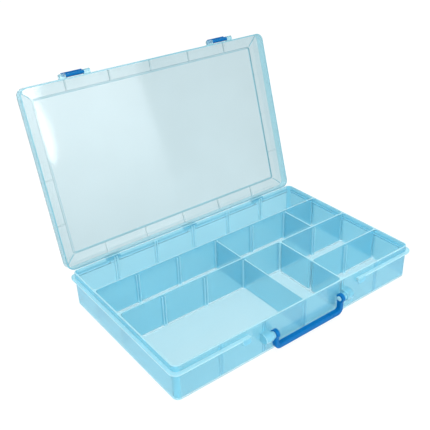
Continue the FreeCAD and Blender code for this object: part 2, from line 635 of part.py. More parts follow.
def hinge_clips(body):
    """Three C-shaped clips that snap over the base's hinge bars."""
    first = "-Sizes.hinge_spacing - Sizes.clip_width / 2"
    bore = "(Sizes.hinge_bar + Sizes.hinge_play)"
    outer = f"({bore} + Sizes.clip_wall)"
    web_outline = new_sketch(body, "clip_web_outline", "YZ_Plane", first)
    rectangle(web_outline, f"{LID_Y} - Sizes.lid_wall / 2", HINGE_Y, MOUTH, f"{HINGE_Z} + {outer}")
    web = pad(body, "clip_web", web_outline, "Sizes.clip_width")
    eye_outline = new_sketch(body, "clip_bore_outline", "YZ_Plane", first)
    circle(eye_outline, HINGE_Y, HINGE_Z, f"{bore} + Sizes.clip_wall / 2")
    eye = pocket(body, "clip_bore", eye_outline, "Sizes.clip_width", reverse=True)
    ring_outline = new_sketch(body, "clip_ring_outline", "YZ_Plane", first)
    snap_ring(ring_outline, HINGE_Y, HINGE_Z, bore, outer, "Sizes.clip_turn", "Sizes.clip_mouth")
    ring = pad(body, "clip_ring", ring_outline, "Sizes.clip_width")
    row_of(body, "clips", [web, eye, ring], "X_Axis", "Sizes.hinge_spacing", 3)


def latch_lugs(body):
    """A pair of round-nosed lugs with a round bar for each latch."""
    root = f"(-{LID_Y} + Sizes.lid_wall / 2)"
    half = "(Sizes.latch_width / 2 + Sizes.latch_side)"
    parts = []
    for name, start in (("inner_lug", f"Sizes.latch_centre - {half} - Sizes.lug_width"),
                        ("outer_lug", f"Sizes.latch_centre + {half}")):
        sketch = new_sketch(body, f"{name}_outline", "YZ_Plane", start)
        nose(sketch, root, LATCH_Y, LATCH_Z, "Sizes.lug_radius")
        parts.append(pad(body, name, sketch, "Sizes.lug_width"))
    bar_outline = new_sketch(body, "latch_bar_outline", "YZ_Plane",
                             f"Sizes.latch_centre - {half} - Sizes.lug_width / 2")
    circle(bar_outline, LATCH_Y, LATCH_Z, "Sizes.latch_bar")
    parts.append(pad(body, "latch_bar", bar_outline, f"2 * {half} + Sizes.lug_width"))
    mirror(body, "latch_mounts", parts)


def latch(label, middle):
    """A latch plate with a snap barrel along its top and a hook along its foot."""
    body = new_body(label)
    bore = "(Sizes.latch_bar + Sizes.latch_play)"
    outer = f"({bore} + Sizes.barrel_wall)"
    half, half_foot = "Sizes.latch_width / 2", "Sizes.latch_foot / 2"

    plate_outline = new_sketch(body, "plate_outline", "XZ_Plane", f"-{LATCH_Y}")
    shoulder = f"({LATCH_Z} - Sizes.lug_radius - Sizes.latch_side)"
    polygon(plate_outline, [
        (f"{middle} - {half_foot}", LATCH_FOOT), (f"{middle} + {half_foot}", LATCH_FOOT),
        (f"{middle} + {half_foot}", shoulder), (f"{middle} + {half}", shoulder),
        (f"{middle} + {half}", LATCH_Z), (f"{middle} - {half}", LATCH_Z),
        (f"{middle} - {half}", shoulder), (f"{middle} - {half_foot}", shoulder)])
    pad(body, "plate", plate_outline, "Sizes.latch_thick")

    hook_outline = new_sketch(body, "hook_outline", "YZ_Plane", f"{middle} - {half_foot}")
    back = f"({LATCH_Y} + {LATCH_LEAN} + Sizes.hook_reach)"
    inside = f"({LATCH_Y} - Sizes.latch_thick / 2)"
    polygon(hook_outline, [(inside, LATCH_FOOT), (f"{back} - Sizes.hook_reach / 2", LATCH_FOOT),
                           (back, f"{HOOK_TOP} - Sizes.hook_height / 2"), (back, HOOK_TOP),
                           (inside, HOOK_TOP)])
    pad(body, "hook", hook_outline, "Sizes.latch_foot")

    low = number(LATCH_FOOT)
    soften(body, "foot_corners", "Sizes.latch_round", lambda edge: level(edge, low) and crosswise(edge))

    seat_outline = new_sketch(body, "seat_outline", "YZ_Plane", f"{middle} - {half}")
    circle(seat_outline, LATCH_Y, LATCH_Z, f"{bore} + Sizes.barrel_wall / 2")
    pocket(body, "seat", seat_outline, "Sizes.latch_width", reverse=True)
    barrel_outline = new_sketch(body, "barrel_outline", "YZ_Plane", f"{middle} - {half}")
    snap_ring(barrel_outline, LATCH_Y, LATCH_Z, bore, outer, "Sizes.barrel_turn", "Sizes.barrel_mouth")
    pad(body, "barrel", barrel_outline, "Sizes.latch_width")
    return body


def carry_handle():
    """U-shaped strap handle whose two C-hooks snap over the pins of the base."""
    body = new_body("carry_handle")
    bore = "(Sizes.pin_radius + Sizes.pin_play)"
    outer = f"({bore} + Sizes.eye_wall)"
    low = f"({PIN_Z} - Sizes.handle_drop)"
    high = f"{PIN_Z} - {bore}"

    block_outline = new_sketch(body, "strap_outline", "XZ_Plane", f"-{PIN_Y}")
    rounded_rectangle(block_outline, f"-{ARM_X}", ARM_X, low, f"{PIN_Z} + Sizes.handle_corner",
                      "Sizes.handle_corner")
    pad(body, "strap_block", block_outline, "Sizes.handle_width", centred=True)
    window_outline = new_sketch(body, "window_outline", "XZ_Plane", f"-{PIN_Y}")
    inner = f"({ARM_X} - Sizes.arm_thick)"
    rounded_rectangle(window_outline, f"-{inner}", inner, f"{low} + Sizes.grip_thick",
                      f"{PIN_Z} + 2 * Sizes.handle_corner", "Sizes.window_corner")
    pocket(body, "window", window_outline, "2 * Sizes.handle_width", centred=True)
    trim_outline = new_sketch(body, "trim_outline", "XZ_Plane", f"-{PIN_Y}")
    rectangle(trim_outline, f"-{ARM_X} - Sizes.arm_thick", f"{ARM_X} + Sizes.arm_thick",
              high, f"{PIN_Z} + 2 * Sizes.handle_corner")
    pocket(body, "trim", trim_outline, "2 * Sizes.handle_width", centred=True)
    front = number(f"{PIN_Y} - Sizes.handle_width / 2")
    back = number(f"{PIN_Y} + Sizes.handle_width / 2")
    side, under, cut = number(ARM_X), number(low), number(high)

    def on_face(edge):
        box = edge.BoundBox
        close = min(abs(box.Center.y - front), abs(box.Center.y - back)) < NEAR
        return close and box.YLength < NEAR and not level(edge, cut)

    def outside(edge):
        box = edge.BoundBox
        return max(box.XMax, -box.XMin) > side - NEAR or box.ZMin < under + NEAR

    bevel(body, "inner_edges", "Sizes.handle_bevel", lambda edge: on_face(edge) and not outside(edge))
    soften(body, "outer_edges", "Sizes.handle_round", lambda edge: on_face(edge) and outside(edge))

    lip_outline = new_sketch(body, "lip_outline", "YZ_Plane", EYE_X)
    jaw = "((Sizes.eye_turn - Sizes.eye_mouth / 2) * 1 deg)"
    inside, tip = f"({bore} + Sizes.eye_wall / 2)", f"({outer} + Sizes.eye_lip)"
    polygon(lip_outline, [(PIN_Y, f"{PIN_Z} - {outer}"),
                          (f"{PIN_Y} + {tip} * cos({jaw})", f"{PIN_Z} + {tip} * sin({jaw})"),
                          (f"{PIN_Y} + {inside} * cos({jaw})", f"{PIN_Z} + {inside} * sin({jaw})")])
    lip = pad(body, "lip", lip_outline, "Sizes.eye_width")
    ring_outline = new_sketch(body, "eye_outline", "YZ_Plane", EYE_X)
    snap_ring(ring_outline, PIN_Y, PIN_Z, bore, outer, "Sizes.eye_turn", "Sizes.eye_mouth")
    ring = pad(body, "eye", ring_outline, "Sizes.eye_width")
    mirror(body, "hooks", [lip, ring])
    return body


def divider(label, station, low, high):
    """A loose plate that drops into a pair of slots."""
    body = new_body(label)
    outline = new_sketch(body, "plate_outline", "YZ_Plane", station)
    rounded_rectangle(outline, f"{low} + Sizes.divider_end", f"{high} - Sizes.divider_end",
                      "Sizes.floor_thick + Sizes.divider_seat", f"{RIM_TOP} - Sizes.divider_drop",
                      "Sizes.divider_round")
    pad(body, "plate", outline, "Sizes.divider_thick", centred=True)
    return body


def turn_about(across, up, angle):
    """A turn about an axis along X through a point, in degrees."""
    centre = FreeCAD.Vector(0, number(across), number(up))
    rotation = FreeCAD.Rotation(FreeCAD.Vector(1, 0, 0), angle)
    return FreeCAD.Placement(FreeCAD.Vector(0, 0, 0), rotation, centre)


def build():
    """Every sub-part in its place, with the lid open and the latches folded back."""
    swing = turn_about(HINGE_Y, HINGE_Z, -number("Sizes.lid_open"))
    fold = turn_about(LATCH_Y, LATCH_Z, -number("Sizes.latch_fold"))
    tray = base_tray()
    cover = lid()
    cover.Placement = swing
    latches = [latch("latch_left", "-Sizes.latch_centre"), latch("latch_right", "Sizes.latch_centre")]
    for piece in latches:
        piece.Placement = swing.multiply(fold)
    handle = carry_handle()
    middle_row = (HALF_PARTITION, f"Sizes.row_pitch - {HALF_PARTITION}")
    dividers = [
        divider("divider_front", "0", f"-{INNER_Y}", f"-{HALF_PARTITION}"),
        divider("divider_middle", "0", *middle_row),
        divider("divider_right", "2 * Sizes.column_pitch", *middle_row)]
    doc.recompute()
    return [tray, cover, *latches, handle, *dividers]


def check(pieces):
    """Stops if a feature failed or a sub-part isn't one sound solid."""
    for item in doc.Objects:
        if {"Invalid", "Error"} & set(item.State):
            raise RuntimeError(f"{item.Label} failed: {item.State}")
    for piece in pieces:
        shape = piece.Shape
        if shape.isNull() or not shape.isValid() or len(shape.Solids) != 1:
            raise RuntimeError(f"{piece.Label} isn't one sound solid")


pieces = build()
check(pieces)
os.makedirs("parts", exist_ok=True)
for piece in pieces:
    piece.Shape.exportStep(f"parts/{piece.Label}.step")
    box = piece.Shape.BoundBox
    print(f"{piece.Label:16s} volume {piece.Shape.Volume:10.1f}  x {box.XMin:7.2f} {box.XMax:7.2f}"
          f"  y {box.YMin:7.2f} {box.YMax:7.2f}  z {box.ZMin:7.2f} {box.ZMax:7.2f}")
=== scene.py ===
"""Looks of the art supply box: translucent plastics, strong-blue fittings and a white studio stage.

Metres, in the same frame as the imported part: X along the long front, -Y the front, Z up.
"""
import json
import math

import bmesh
import bpy
from bpy.props import FloatProperty, FloatVectorProperty, PointerProperty
from mathutils import Matrix, Vector


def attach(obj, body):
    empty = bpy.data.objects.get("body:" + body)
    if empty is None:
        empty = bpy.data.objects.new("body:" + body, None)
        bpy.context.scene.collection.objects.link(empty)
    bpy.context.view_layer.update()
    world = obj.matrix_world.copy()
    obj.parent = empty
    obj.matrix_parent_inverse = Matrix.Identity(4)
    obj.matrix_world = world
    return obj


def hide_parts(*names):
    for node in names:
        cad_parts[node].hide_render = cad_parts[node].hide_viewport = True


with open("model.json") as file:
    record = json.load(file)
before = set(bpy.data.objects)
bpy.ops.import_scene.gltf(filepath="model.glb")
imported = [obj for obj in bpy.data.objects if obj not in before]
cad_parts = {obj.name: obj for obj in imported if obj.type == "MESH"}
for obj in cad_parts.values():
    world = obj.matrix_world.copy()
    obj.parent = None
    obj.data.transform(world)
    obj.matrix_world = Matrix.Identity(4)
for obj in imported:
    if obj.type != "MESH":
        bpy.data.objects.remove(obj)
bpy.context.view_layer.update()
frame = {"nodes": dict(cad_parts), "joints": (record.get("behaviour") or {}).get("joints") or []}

bl_info = {
    "name": "Art supply box",
    "version": (1, 0, 0),
    "blender": (4, 5, 0),
    "location": "View3D > Sidebar > Art box",
    "description": "Finishes the packed art supply box and sets its studio stage",
    "category": "Object",
}

MM = 0.001

# Material slots of a translucent piece's edges and sides, after its plain faces, and no change of slot.
# The edge slot carries painted highlights on the tray and the dividers and painted shade on the lid, and
# the tray's side slot carries painted light
EDGE, SIDE = 1, 2
UNCHANGED = -1

# Corners closer than TOUCH are one corner, and heights closer than FLUSH are one height
TOUCH = 0.001 * MM
FLUSH = 0.01 * MM

# Faces closer to level than LEVEL are one face, and edges that turn more than SHARP stay sharp
LEVEL = math.radians(0.3)
SHARP = math.radians(35.0)

# Share of a normal along an axis: a face looks along it above FACING and runs along it below ALONG, and a
# face of the tray looks up above UPWARD
FACING, ALONG, UPWARD = 0.9, 0.1, 0.5

# Strips across a rounded edge, the profile of a circle, and the weight of large faces in the shading
ROUND_STRIPS, ROUND_PROFILE = 2, 0.5
LARGE_FACE_WEIGHT = 100

# Tray: heights of its rim, flange and bevelled foot, its walls' outer faces and their rounded corners
RIM_TOP = 46.0 * MM
FLANGE_TOP, FLANGE_THICK = 38.5 * MM, 3.2 * MM
FOOT = 1.3 * MM
WALL_X, WALL_Y = 176.1 * MM, 108.85 * MM
WALL_DRAFT = 2.0 * MM
CORNER = 9.0 * MM

# Tray: outer end of the handle's pins, and the pairs of ribs beside each divider slot
PIN_END = 52.2 * MM
SLOT_PITCH = 59.0 * MM
SLOTS = tuple(step * SLOT_PITCH for step in (-2, -1, 0, 1, 2))
RIB_NEAR, RIB_FAR = 1.05 * MM, 2.4 * MM

# Closed lid: its walls, mouth and raised panel, and the heights of the step round the panel
LID_X, LID_Y = 178.4 * MM, 111.15 * MM
LID_SKIN = 1.6 * MM
LID_MOUTH = 38.8 * MM
PANEL_X, PANEL_Y = 162.4 * MM, 96.25 * MM
PANEL_TOP = 53.4 * MM
STEP_HEIGHTS = (PANEL_TOP, PANEL_TOP - LID_SKIN)

# Mitres of the closed lid: reach from panel to wall, lowest place, least length and room off the line
MITRE_X, MITRE_Y = LID_X - PANEL_X, LID_Y - PANEL_Y
MITRE_FOOT, MITRE_LEAST = 49.0 * MM, 5.0 * MM
MITRE_SLACK = 0.02

# Latches: reach of the barrel round the pivot
BARREL = 3.4 * MM

# Tint that each translucent finish gives to lamp light on its way through
TRAY_SHADE = (0.80, 0.93, 0.98)
TRAY_EDGE_SHADE = (0.70, 0.90, 0.97)
TRAY_SIDE_SHADE = (0.76, 0.92, 0.97)
DIVIDER_SHADE = (0.84, 0.94, 0.98)
LID_SHADE = (0.90, 0.96, 0.98)
LID_EDGE_SHADE = (0.80, 0.93, 0.97)
LID_WALL_SHADE = (0.86, 0.95, 0.98)

# Moulded faces: scales of slow mottle and fine grain, the grain's share of the relief, and its depth
SHEET_MOTTLE, FITTING_MOTTLE = 9.0, 60.0
GRAIN_SCALE = 1500.0
SHEET_GRAIN, FITTING_GRAIN = 0.25, 0.5
TRAY_RELIEF, LID_RELIEF, FITTING_RELIEF = 0.03 * MM, 0.02 * MM, 0.02 * MM
MOTTLE_DETAIL, GRAIN_DETAIL = 3.0, 2.0

# Middle range of the mottle's noise, its darkest tone and how far it moves the roughness
NOISE_LOW, NOISE_HIGH = 0.3, 0.7
DARK_TONE = 0.94
ROUGH_LOW, ROUGH_HIGH = 0.85, 1.15

# Refraction of the plastics, and the fittings' faint shine
SHEET_IOR, FITTING_IOR = 1.49, 1.50
FITTING_SHINE = 0.1

# Stage: colours, and the floor's glow where it is seen
WHITE = (1.0, 1.0, 1.0, 1.0)
ROOM_LIGHT = (0.97, 0.985, 1.0, 1.0)
FLOOR_COLOUR = (0.86, 0.87, 0.88, 1.0)
FLOOR_ROUGHNESS = 0.9
FLOOR_GLOW, FLOOR_GLOW_SHARE = 1.10, 0.80

# Stage: name, place, point looked at, width and height, power, shape and spread of each soft lamp
BROAD, LID_SPREAD = math.radians(180.0), math.radians(42.6)
SOFTBOXES = (
    ("key_softbox", (-0.9, -1.0, 1.6), (0.0, 0.0, 0.05), (1.2, 1.2), 16.0, "RECTANGLE", BROAD),
    ("lid_softbox", (0.50, -1.20, 0.30), (-0.07, 0.09, -0.21), (0.42, 0.66), 0.18, "RECTANGLE", LID_SPREAD),
    ("lid_glint", (0.335, -1.21, 0.44), (-0.16, 0.17, 0.19), (0.05, 0.22), 0.27, "ELLIPSE", BROAD),
)

# Stage: light paths long enough to cross many clear walls, and the camera's sensor in millimetres and range
LIGHT_PATHS = {
    "max_bounces": 32,
    "transmission_bounces": 28,
    "glossy_bounces": 24,
    "diffuse_bounces": 8,
    "transparent_max_bounces": 64,
    "sample_clamp_indirect": 4.0,
}
SENSOR_WIDTH = 36.0
NEAREST, FARTHEST = 0.01, 50.0


def colour_property(name, description, default):
    """A colour in linear light."""
    return FloatVectorProperty(name=name, description=description, subtype="COLOR", size=3,
                               min=0.0, max=1.0, default=default)


def share_property(name, description, default):
    """A value from 0 to 1."""
    return FloatProperty(name=name, description=description, subtype="FACTOR", min=0.0, max=1.0,
                         default=default)


def length_property(name, description, default):
    """A length in metres."""
    return FloatProperty(name=name, description=description, subtype="DISTANCE", unit="LENGTH", min=0.0,
                         default=default)


def angle_property(name, description, degrees):
    """An angle, given in degrees."""
    return FloatProperty(name=name, description=description, subtype="ANGLE", default=math.radians(degrees))


class ArtBoxFinish(bpy.types.PropertyGroup):
    """Colours, surface qualities and edge roundings of the box's plastics, with the painted highlights,
    painted shade and painted light of their edges and sides.
    """
    tray_colour: colour_property("Tray", "Tint of the milky tray", (0.43, 0.79, 0.91))
    tray_clear: share_property("Tray clearness", "Share of light that goes through the tray's faces", 0.80)
    tray_frost: share_property("Tray frost", "Roughness of the tray's faces", 0.16)
    # Painted light: a denser tint that evens out the light and shade on the tray's side walls, corners,
    # bosses and catch tabs
    side_painted_light_colour: colour_property("Tray sides", "Tint of the side walls, corners, bosses and catch tabs",
                                 (0.32, 0.77, 0.93))
    side_clear: share_property("Side clearness", "Share of light that goes through the tray's sides", 0.55)
    # Painted highlight: a lighter, denser tint for the tray's rim, ribs and flange and the dividers' edges
    edge_highlight_colour: colour_property("Tray edges", "Tint of the rim, ribs and flange", (0.50, 0.86, 0.96))
    edge_clear: share_property("Edge clearness", "Share of light that goes through the edges", 0.25)
    lid_colour: colour_property("Lid", "Tint of the clear lid", (0.585, 0.735, 0.775))
    lid_clear: share_property("Lid clearness", "Share of light that goes through the lid's faces", 0.92)
    lid_frost: share_property("Lid frost", "Roughness of the lid's faces", 0.06)
    # Painted shade: a darker tint along the lid's mouth, step and mitres
    lid_edge_shade_colour: colour_property("Lid edges", "Tint of the mouth, step and mitres", (0.24, 0.56, 0.66))
    lid_wall_colour: colour_property("Lid walls", "Tint of the lid's walls, ribs, lugs and clips",
                                     (0.47, 0.79, 0.88))
    lid_wall_clear: share_property("Wall clearness", "Share of light that goes through the lid's walls",
                                   0.75)
    fitting_colour: colour_property("Fittings", "Colour of the handle and the latches", (0.001, 0.160, 0.46))
    fitting_frost: share_property("Fitting frost", "Roughness of the handle and the latches", 0.30)
    rim_round: length_property("Rim rounding", "Rounding of the rim, the bosses and the catch tabs",
                               0.3 * MM)
    step_round: length_property("Step rounding", "Rounding of the step round the lid's panel", 0.8 * MM)
    mitre_round: length_property("Mitre rounding", "Rounding of the mitres in the lid's border", 0.35 * MM)
    plate_round: length_property("Plate rounding", "Rounding of the dividers and the latches", 0.2 * MM)


class ArtBoxStage(bpy.types.PropertyGroup):
    """Camera, room light and floor."""
    eye: FloatVectorProperty(name="Eye", description="Place of the camera", subtype="TRANSLATION", size=3,
                             unit="LENGTH", default=(-0.42792, -0.53019, 0.48998))
    azimuth: angle_property("Azimuth", "Turn of the view from +Y towards +X", 36.15)
    elevation: angle_property("Elevation", "Fall of the view below the horizon", 29.37)
    roll: angle_property("Roll", "Turn of the camera about its view", -2.04)
    lens: FloatProperty(name="Lens", description="Focal length in millimetres", unit="CAMERA", min=1.0,
                        default=55.58)
    ambient: FloatProperty(name="Ambient", description="Strength of the white room's light", min=0.0,
                           default=0.85)
    floor_side: length_property("Floor", "Side of the square floor", 9.0)


def moulding_group():
    """Slow mottle and fine grain of an injection-moulded face, as values that change over the surface."""
    group = bpy.data.node_groups.new("moulded_face", "ShaderNodeTree")
    for name, value in (("Mottle Scale", SHEET_MOTTLE), ("Grain Scale", GRAIN_SCALE),
                        ("Grain Share", SHEET_GRAIN)):
        group.interface.new_socket(name, in_out="INPUT", socket_type="NodeSocketFloat").default_value = value
    for name in ("Mottle", "Height"):
        group.interface.new_socket(name, in_out="OUTPUT", socket_type="NodeSocketFloat")
    nodes, links = group.nodes, group.links
    given, put_out = nodes.new("NodeGroupInput"), nodes.new("NodeGroupOutput")
    place = nodes.new("ShaderNodeTexCoord")
    mottle, grain = nodes.new("ShaderNodeTexNoise"), nodes.new("ShaderNodeTexNoise")
    for noise, scale, detail in ((mottle, "Mottle Scale", MOTTLE_DETAIL),
                                 (grain, "Grain Scale", GRAIN_DETAIL)):
        noise.inputs["Detail"].default_value = detail
        links.new(place.outputs["Object"], noise.inputs["Vector"])
        links.new(given.outputs[scale], noise.inputs["Scale"])
    height = nodes.new("ShaderNodeMix")
    links.new(given.outputs["Grain Share"], height.inputs["Factor"])
    links.new(mottle.outputs["Fac"], height.inputs["A"])
    links.new(grain.outputs["Fac"], height.inputs["B"])
    links.new(mottle.outputs["Fac"], put_out.inputs["Mottle"])
    links.new(height.outputs["Result"], put_out.inputs["Height"])
    return group


def moulded_face():
    """The shared group, built the first time it is asked for."""
    return bpy.data.node_groups.get("moulded_face") or moulding_group()


def new_material(name):
    """A material with one Principled shader; returns the material, its nodes, links and the shader."""
    material = bpy.data.materials.new(name)
    material.use_nodes = True
    tree = material.node_tree
    return material, tree.nodes, tree.links, tree.nodes["Principled BSDF"]


def ranged(nodes, links, value, low, high):
    """Maps the middle of a noise value to a range of its own."""
    node = nodes.new("ShaderNodeMapRange")
    for name, limit in (("From Min", NOISE_LOW), ("From Max", NOISE_HIGH),
                        ("To Min", low), ("To Max", high)):
        node.inputs[name].default_value = limit
    links.new(value, node.inputs["Value"])
    return node.outputs["Result"]


def between(nodes, links, value, first, second):
    """A colour between two, by a value that changes over the surface."""
    mix = nodes.new("ShaderNodeMix")
    mix.data_type = "RGBA"
    mix.inputs["A"].default_value = (*first, 1.0)
    mix.inputs["B"].default_value = (*second, 1.0)
    links.new(value, mix.inputs["Factor"])
    return mix.outputs["Result"]


def mixed(nodes, links, share, first, second):
    """One shader where the share is 0 and another where it is 1."""
    mix = nodes.new("ShaderNodeMixShader")
    links.new(share, mix.inputs["Fac"])
    links.new(first, mix.inputs[1])
    links.new(second, mix.inputs[2])
    return mix.outputs["Shader"]


def dress_face(nodes, links, shader, colour, frost, mottle_scale, grain_share, depth):
    """Colour variation, roughness variation and fine relief of a moulded face."""
    face = nodes.new("ShaderNodeGroup")
    face.node_tree = moulded_face()
    face.inputs["Mottle Scale"].default_value = mottle_scale
    face.inputs["Grain Share"].default_value = grain_share
    mottle = face.outputs["Mottle"]
    dark = tuple(channel * DARK_TONE for channel in colour)
    tone = ranged(nodes, links, mottle, 0.0, 1.0)
    links.new(between(nodes, links, tone, dark, colour), shader.inputs["Base Color"])
    rough = ranged(nodes, links, mottle, ROUGH_LOW * frost, ROUGH_HIGH * frost)
    links.new(rough, shader.inputs["Roughness"])
    relief = nodes.new("ShaderNodeBump")
    relief.inputs["Strength"].default_value = 1.0
    relief.inputs["Distance"].default_value = depth
    links.new(face.outputs["Height"], relief.inputs["Height"])
    links.new(relief.outputs["Normal"], shader.inputs["Normal"])


def translucent(name, colour, clear, frost, shade, depth):
    """Translucent moulded plastic that lets lamp light through."""
    material, nodes, links, shader = new_material(name)
    dress_face(nodes, links, shader, colour, frost, SHEET_MOTTLE, SHEET_GRAIN, depth)
    shader.inputs["Transmission Weight"].default_value = clear
    shader.inputs["IOR"].default_value = SHEET_IOR
    path = nodes.new("ShaderNodeLightPath")
    through = nodes.new("ShaderNodeBsdfTransparent")
    through.inputs["Color"].default_value = (*shade, 1.0)
    surface = mixed(nodes, links, path.outputs["Is Shadow Ray"], shader.outputs["BSDF"],
                    through.outputs["BSDF"])
    links.new(surface, nodes["Material Output"].inputs["Surface"])
    return material


def fitting_plastic(name, colour, frost):
    """Solid plastic of the handle and the latches."""
    material, nodes, links, shader = new_material(name)
    dress_face(nodes, links, shader, colour, frost, FITTING_MOTTLE, FITTING_GRAIN, FITTING_RELIEF)
    shader.inputs["IOR"].default_value = FITTING_IOR
    shader.inputs["Specular IOR Level"].default_value = FITTING_SHINE
    return material


def pick(piece):
    """Selects a piece alone and makes it the active one."""
    bpy.ops.object.select_all(action="DESELECT")
    piece.select_set(True)
    bpy.context.view_layer.objects.active = piece


def merged_copy(node_name, name, body, slot_name, *finishes):
    """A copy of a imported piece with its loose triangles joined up, which stands for it on the same body."""
    piece = bpy.data.objects.new(name, frame["nodes"][node_name].data.copy())
    bpy.context.scene.collection.objects.link(piece)
    pick(piece)
    if piece.data.has_custom_normals:
        bpy.ops.mesh.customdata_custom_splitnormals_clear()
    piece.data.materials.clear()
    for finish in finishes:
        piece.data.materials.append(finish)
    bpy.ops.object.mode_set(mode="EDIT")
    bpy.ops.mesh.select_all(action="SELECT")
    bpy.ops.mesh.remove_doubles(threshold=TOUCH)
    bpy.ops.mesh.dissolve_limited(angle_limit=LEVEL)
    bpy.ops.object.mode_set(mode="OBJECT")
    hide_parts(node_name)
    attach(piece, body)
    return piece


def round_edges(piece, width, belongs, finish=UNCHANGED):
    """Rounds the edges of a piece that a test picks out and gives the new strips a finish."""
    bpy.ops.object.mode_set(mode="EDIT")
    bpy.ops.mesh.select_mode(type="EDGE")
    bpy.ops.mesh.select_all(action="DESELECT")
    mesh = bmesh.from_edit_mesh(piece.data)
    for edge in mesh.edges:
        if belongs(edge):
            edge.select_set(True)
    bmesh.update_edit_mesh(piece.data)
    bpy.ops.mesh.bevel(offset=width, offset_type="OFFSET", segments=ROUND_STRIPS, profile=ROUND_PROFILE,
                       affect="EDGES", clamp_overlap=False, material=finish)
    bpy.ops.object.mode_set(mode="OBJECT")


def finish_faces(piece, finish, belongs):
    """Gives the faces of a piece that a test picks out another of its finishes."""
    for face in piece.data.polygons:
        if belongs(face, [piece.data.vertices[index].co for index in face.vertices]):
            face.material_index = finish


def smooth(piece):
    """Smooth shading over the rounded faces, with the sharp edges kept."""
    pick(piece)
    bpy.ops.object.shade_smooth_by_angle(angle=SHARP)
    level = piece.modifiers.new("level_faces", "WEIGHTED_NORMAL")
    level.mode = "FACE_AREA"
    level.weight = LARGE_FACE_WEIGHT
    level.keep_sharp = True
    bpy.ops.object.modifier_apply(modifier=level.name)


def joint(name):
    """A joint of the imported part."""
    return next(item for item in frame["joints"] if item["name"] == name)


def sharp(edge):
    """Whether two faces meet at a sharp angle along the edge."""
    return edge.calc_face_angle(0.0) > SHARP


def at_height(edge, height):
    """Whether the edge lies flat at a height."""
    return all(abs(vertex.co.z - height) < FLUSH for vertex in edge.verts)


def in_front(place):
    """Whether a place on the tray is in front of the wall, on the handle's bosses or the catch tabs."""
    return place.y < -WALL_Y - FLUSH and place.z < FLANGE_TOP - TOUCH


def on_front_fitting(edge):
    """Whether an outer edge is on the handle's bosses or the catch tabs."""
    return edge.is_convex and all(in_front(vertex.co) for vertex in edge.verts)


# The faces that this picks get the side finish, painted light that evens out their shade
def tray_side(face, corners):
    """Whether a face is on the tray's outer side walls, rounded corners, bosses or catch tabs."""
    middle, normal = face.center, face.normal
    out_x, out_y = abs(middle.x), abs(middle.y)
    if in_front(middle):
        return out_x > PIN_END and middle.z < FLANGE_TOP - FLANGE_THICK
    if normal.x * middle.x > FACING * out_x and out_x > WALL_X - WALL_DRAFT:
        return out_x < WALL_X + TOUCH
    in_corner = WALL_X - CORNER < out_x < WALL_X + TOUCH and WALL_Y - CORNER < out_y < WALL_Y + TOUCH
    return in_corner and min(abs(normal.x), abs(normal.y)) > ALONG > abs(normal.z)


# The faces that this picks get the edge finish, a painted highlight
def tray_edge(face, corners):
    """Whether a face is on the tray's rim, ribs, flange, foot or front fittings."""
    middle = face.center
    if middle.y > WALL_Y + TOUCH:
        return False
    if face.normal.z > UPWARD and middle.z > FLANGE_TOP - TOUCH:
        return True
    if abs(middle.x) > WALL_X + TOUCH or abs(middle.y) > WALL_Y + TOUCH:
        return True
    if middle.z < FOOT and abs(face.normal.z) < FACING:
        return True
    return any(all(RIB_NEAR < abs(place.x - slot) < RIB_FAR for place in corners) for slot in SLOTS)


class ARTBOX_OT_tray(bpy.types.Operator):
    """Milky sky-blue tray with painted highlights on its rim, ribs and flange and painted light on its denser
    sides
    """
    bl_idname = "artbox.tray"
    bl_label = "Tray"

    def execute(self, context):
        look = context.scene.art_box_finish
        face = translucent("tray_polypropylene", look.tray_colour, look.tray_clear, look.tray_frost,
                           TRAY_SHADE, TRAY_RELIEF)
        edge = translucent("tray_edge_highlights", look.edge_highlight_colour, look.edge_clear, look.tray_frost,
                           TRAY_EDGE_SHADE, TRAY_RELIEF)
        side = translucent("tray_side_painted_light", look.side_painted_light_colour, look.side_clear, look.tray_frost,
                           TRAY_SIDE_SHADE, TRAY_RELIEF)
        tray = merged_copy("base_tray", "tray_moulding", "base", "tray_plastic", face, edge, side)
        finish_faces(tray, EDGE, tray_edge)
        # The sides get painted light over their shade
        finish_faces(tray, SIDE, tray_side)
        # The rounded strips of the rim and the front fittings take the same painted highlight
        round_edges(tray, look.rim_round, lambda item: sharp(item) and at_height(item, RIM_TOP), EDGE)
        round_edges(tray, look.rim_round, lambda item: sharp(item) and on_front_fitting(item), EDGE)
        smooth(tray)
        return {"FINISHED"}


def closed_lid():
    """The turn that takes a place on the open lid to where it is on the closed one."""
    hinge = joint("lid_hinge")
    centre = Matrix.Translation(hinge["pos_m"])
    turn = Matrix.Rotation(math.radians(hinge["range_deg"][0]), 4, Vector(hinge["axis"]))
    return centre @ turn @ centre.inverted()


def on_step(shut, edge):
    """Whether an edge of the lid runs round its raised panel, outside or inside."""
    for vertex in edge.verts:
        place = shut @ vertex.co
        if all(abs(place.z - height) >= FLUSH for height in STEP_HEIGHTS):
            return False
        if abs(place.x) >= PANEL_X + TOUCH or abs(place.y) >= PANEL_Y + TOUCH:
            return False
    return True


def on_mitre(shut, edge):
    """Whether an edge of the lid runs from a corner of its panel to the lid's own corner."""
    for vertex in edge.verts:
        place = shut @ vertex.co
        out_x, out_y = (abs(place.x) - PANEL_X) / MITRE_X, (abs(place.y) - PANEL_Y) / MITRE_Y
        if place.z < MITRE_FOOT or abs(out_x - out_y) > MITRE_SLACK:
            return False
    return edge.calc_length() > MITRE_LEAST


def lid_rib(normal, places):
    """Whether a standing face of the closed lid is on a rib between its panel and its wall."""
    if abs(normal.x) > abs(normal.y):
        return all(abs(place.y) > PANEL_Y - TOUCH for place in places)
    return all(abs(place.x) > PANEL_X - TOUCH for place in places)


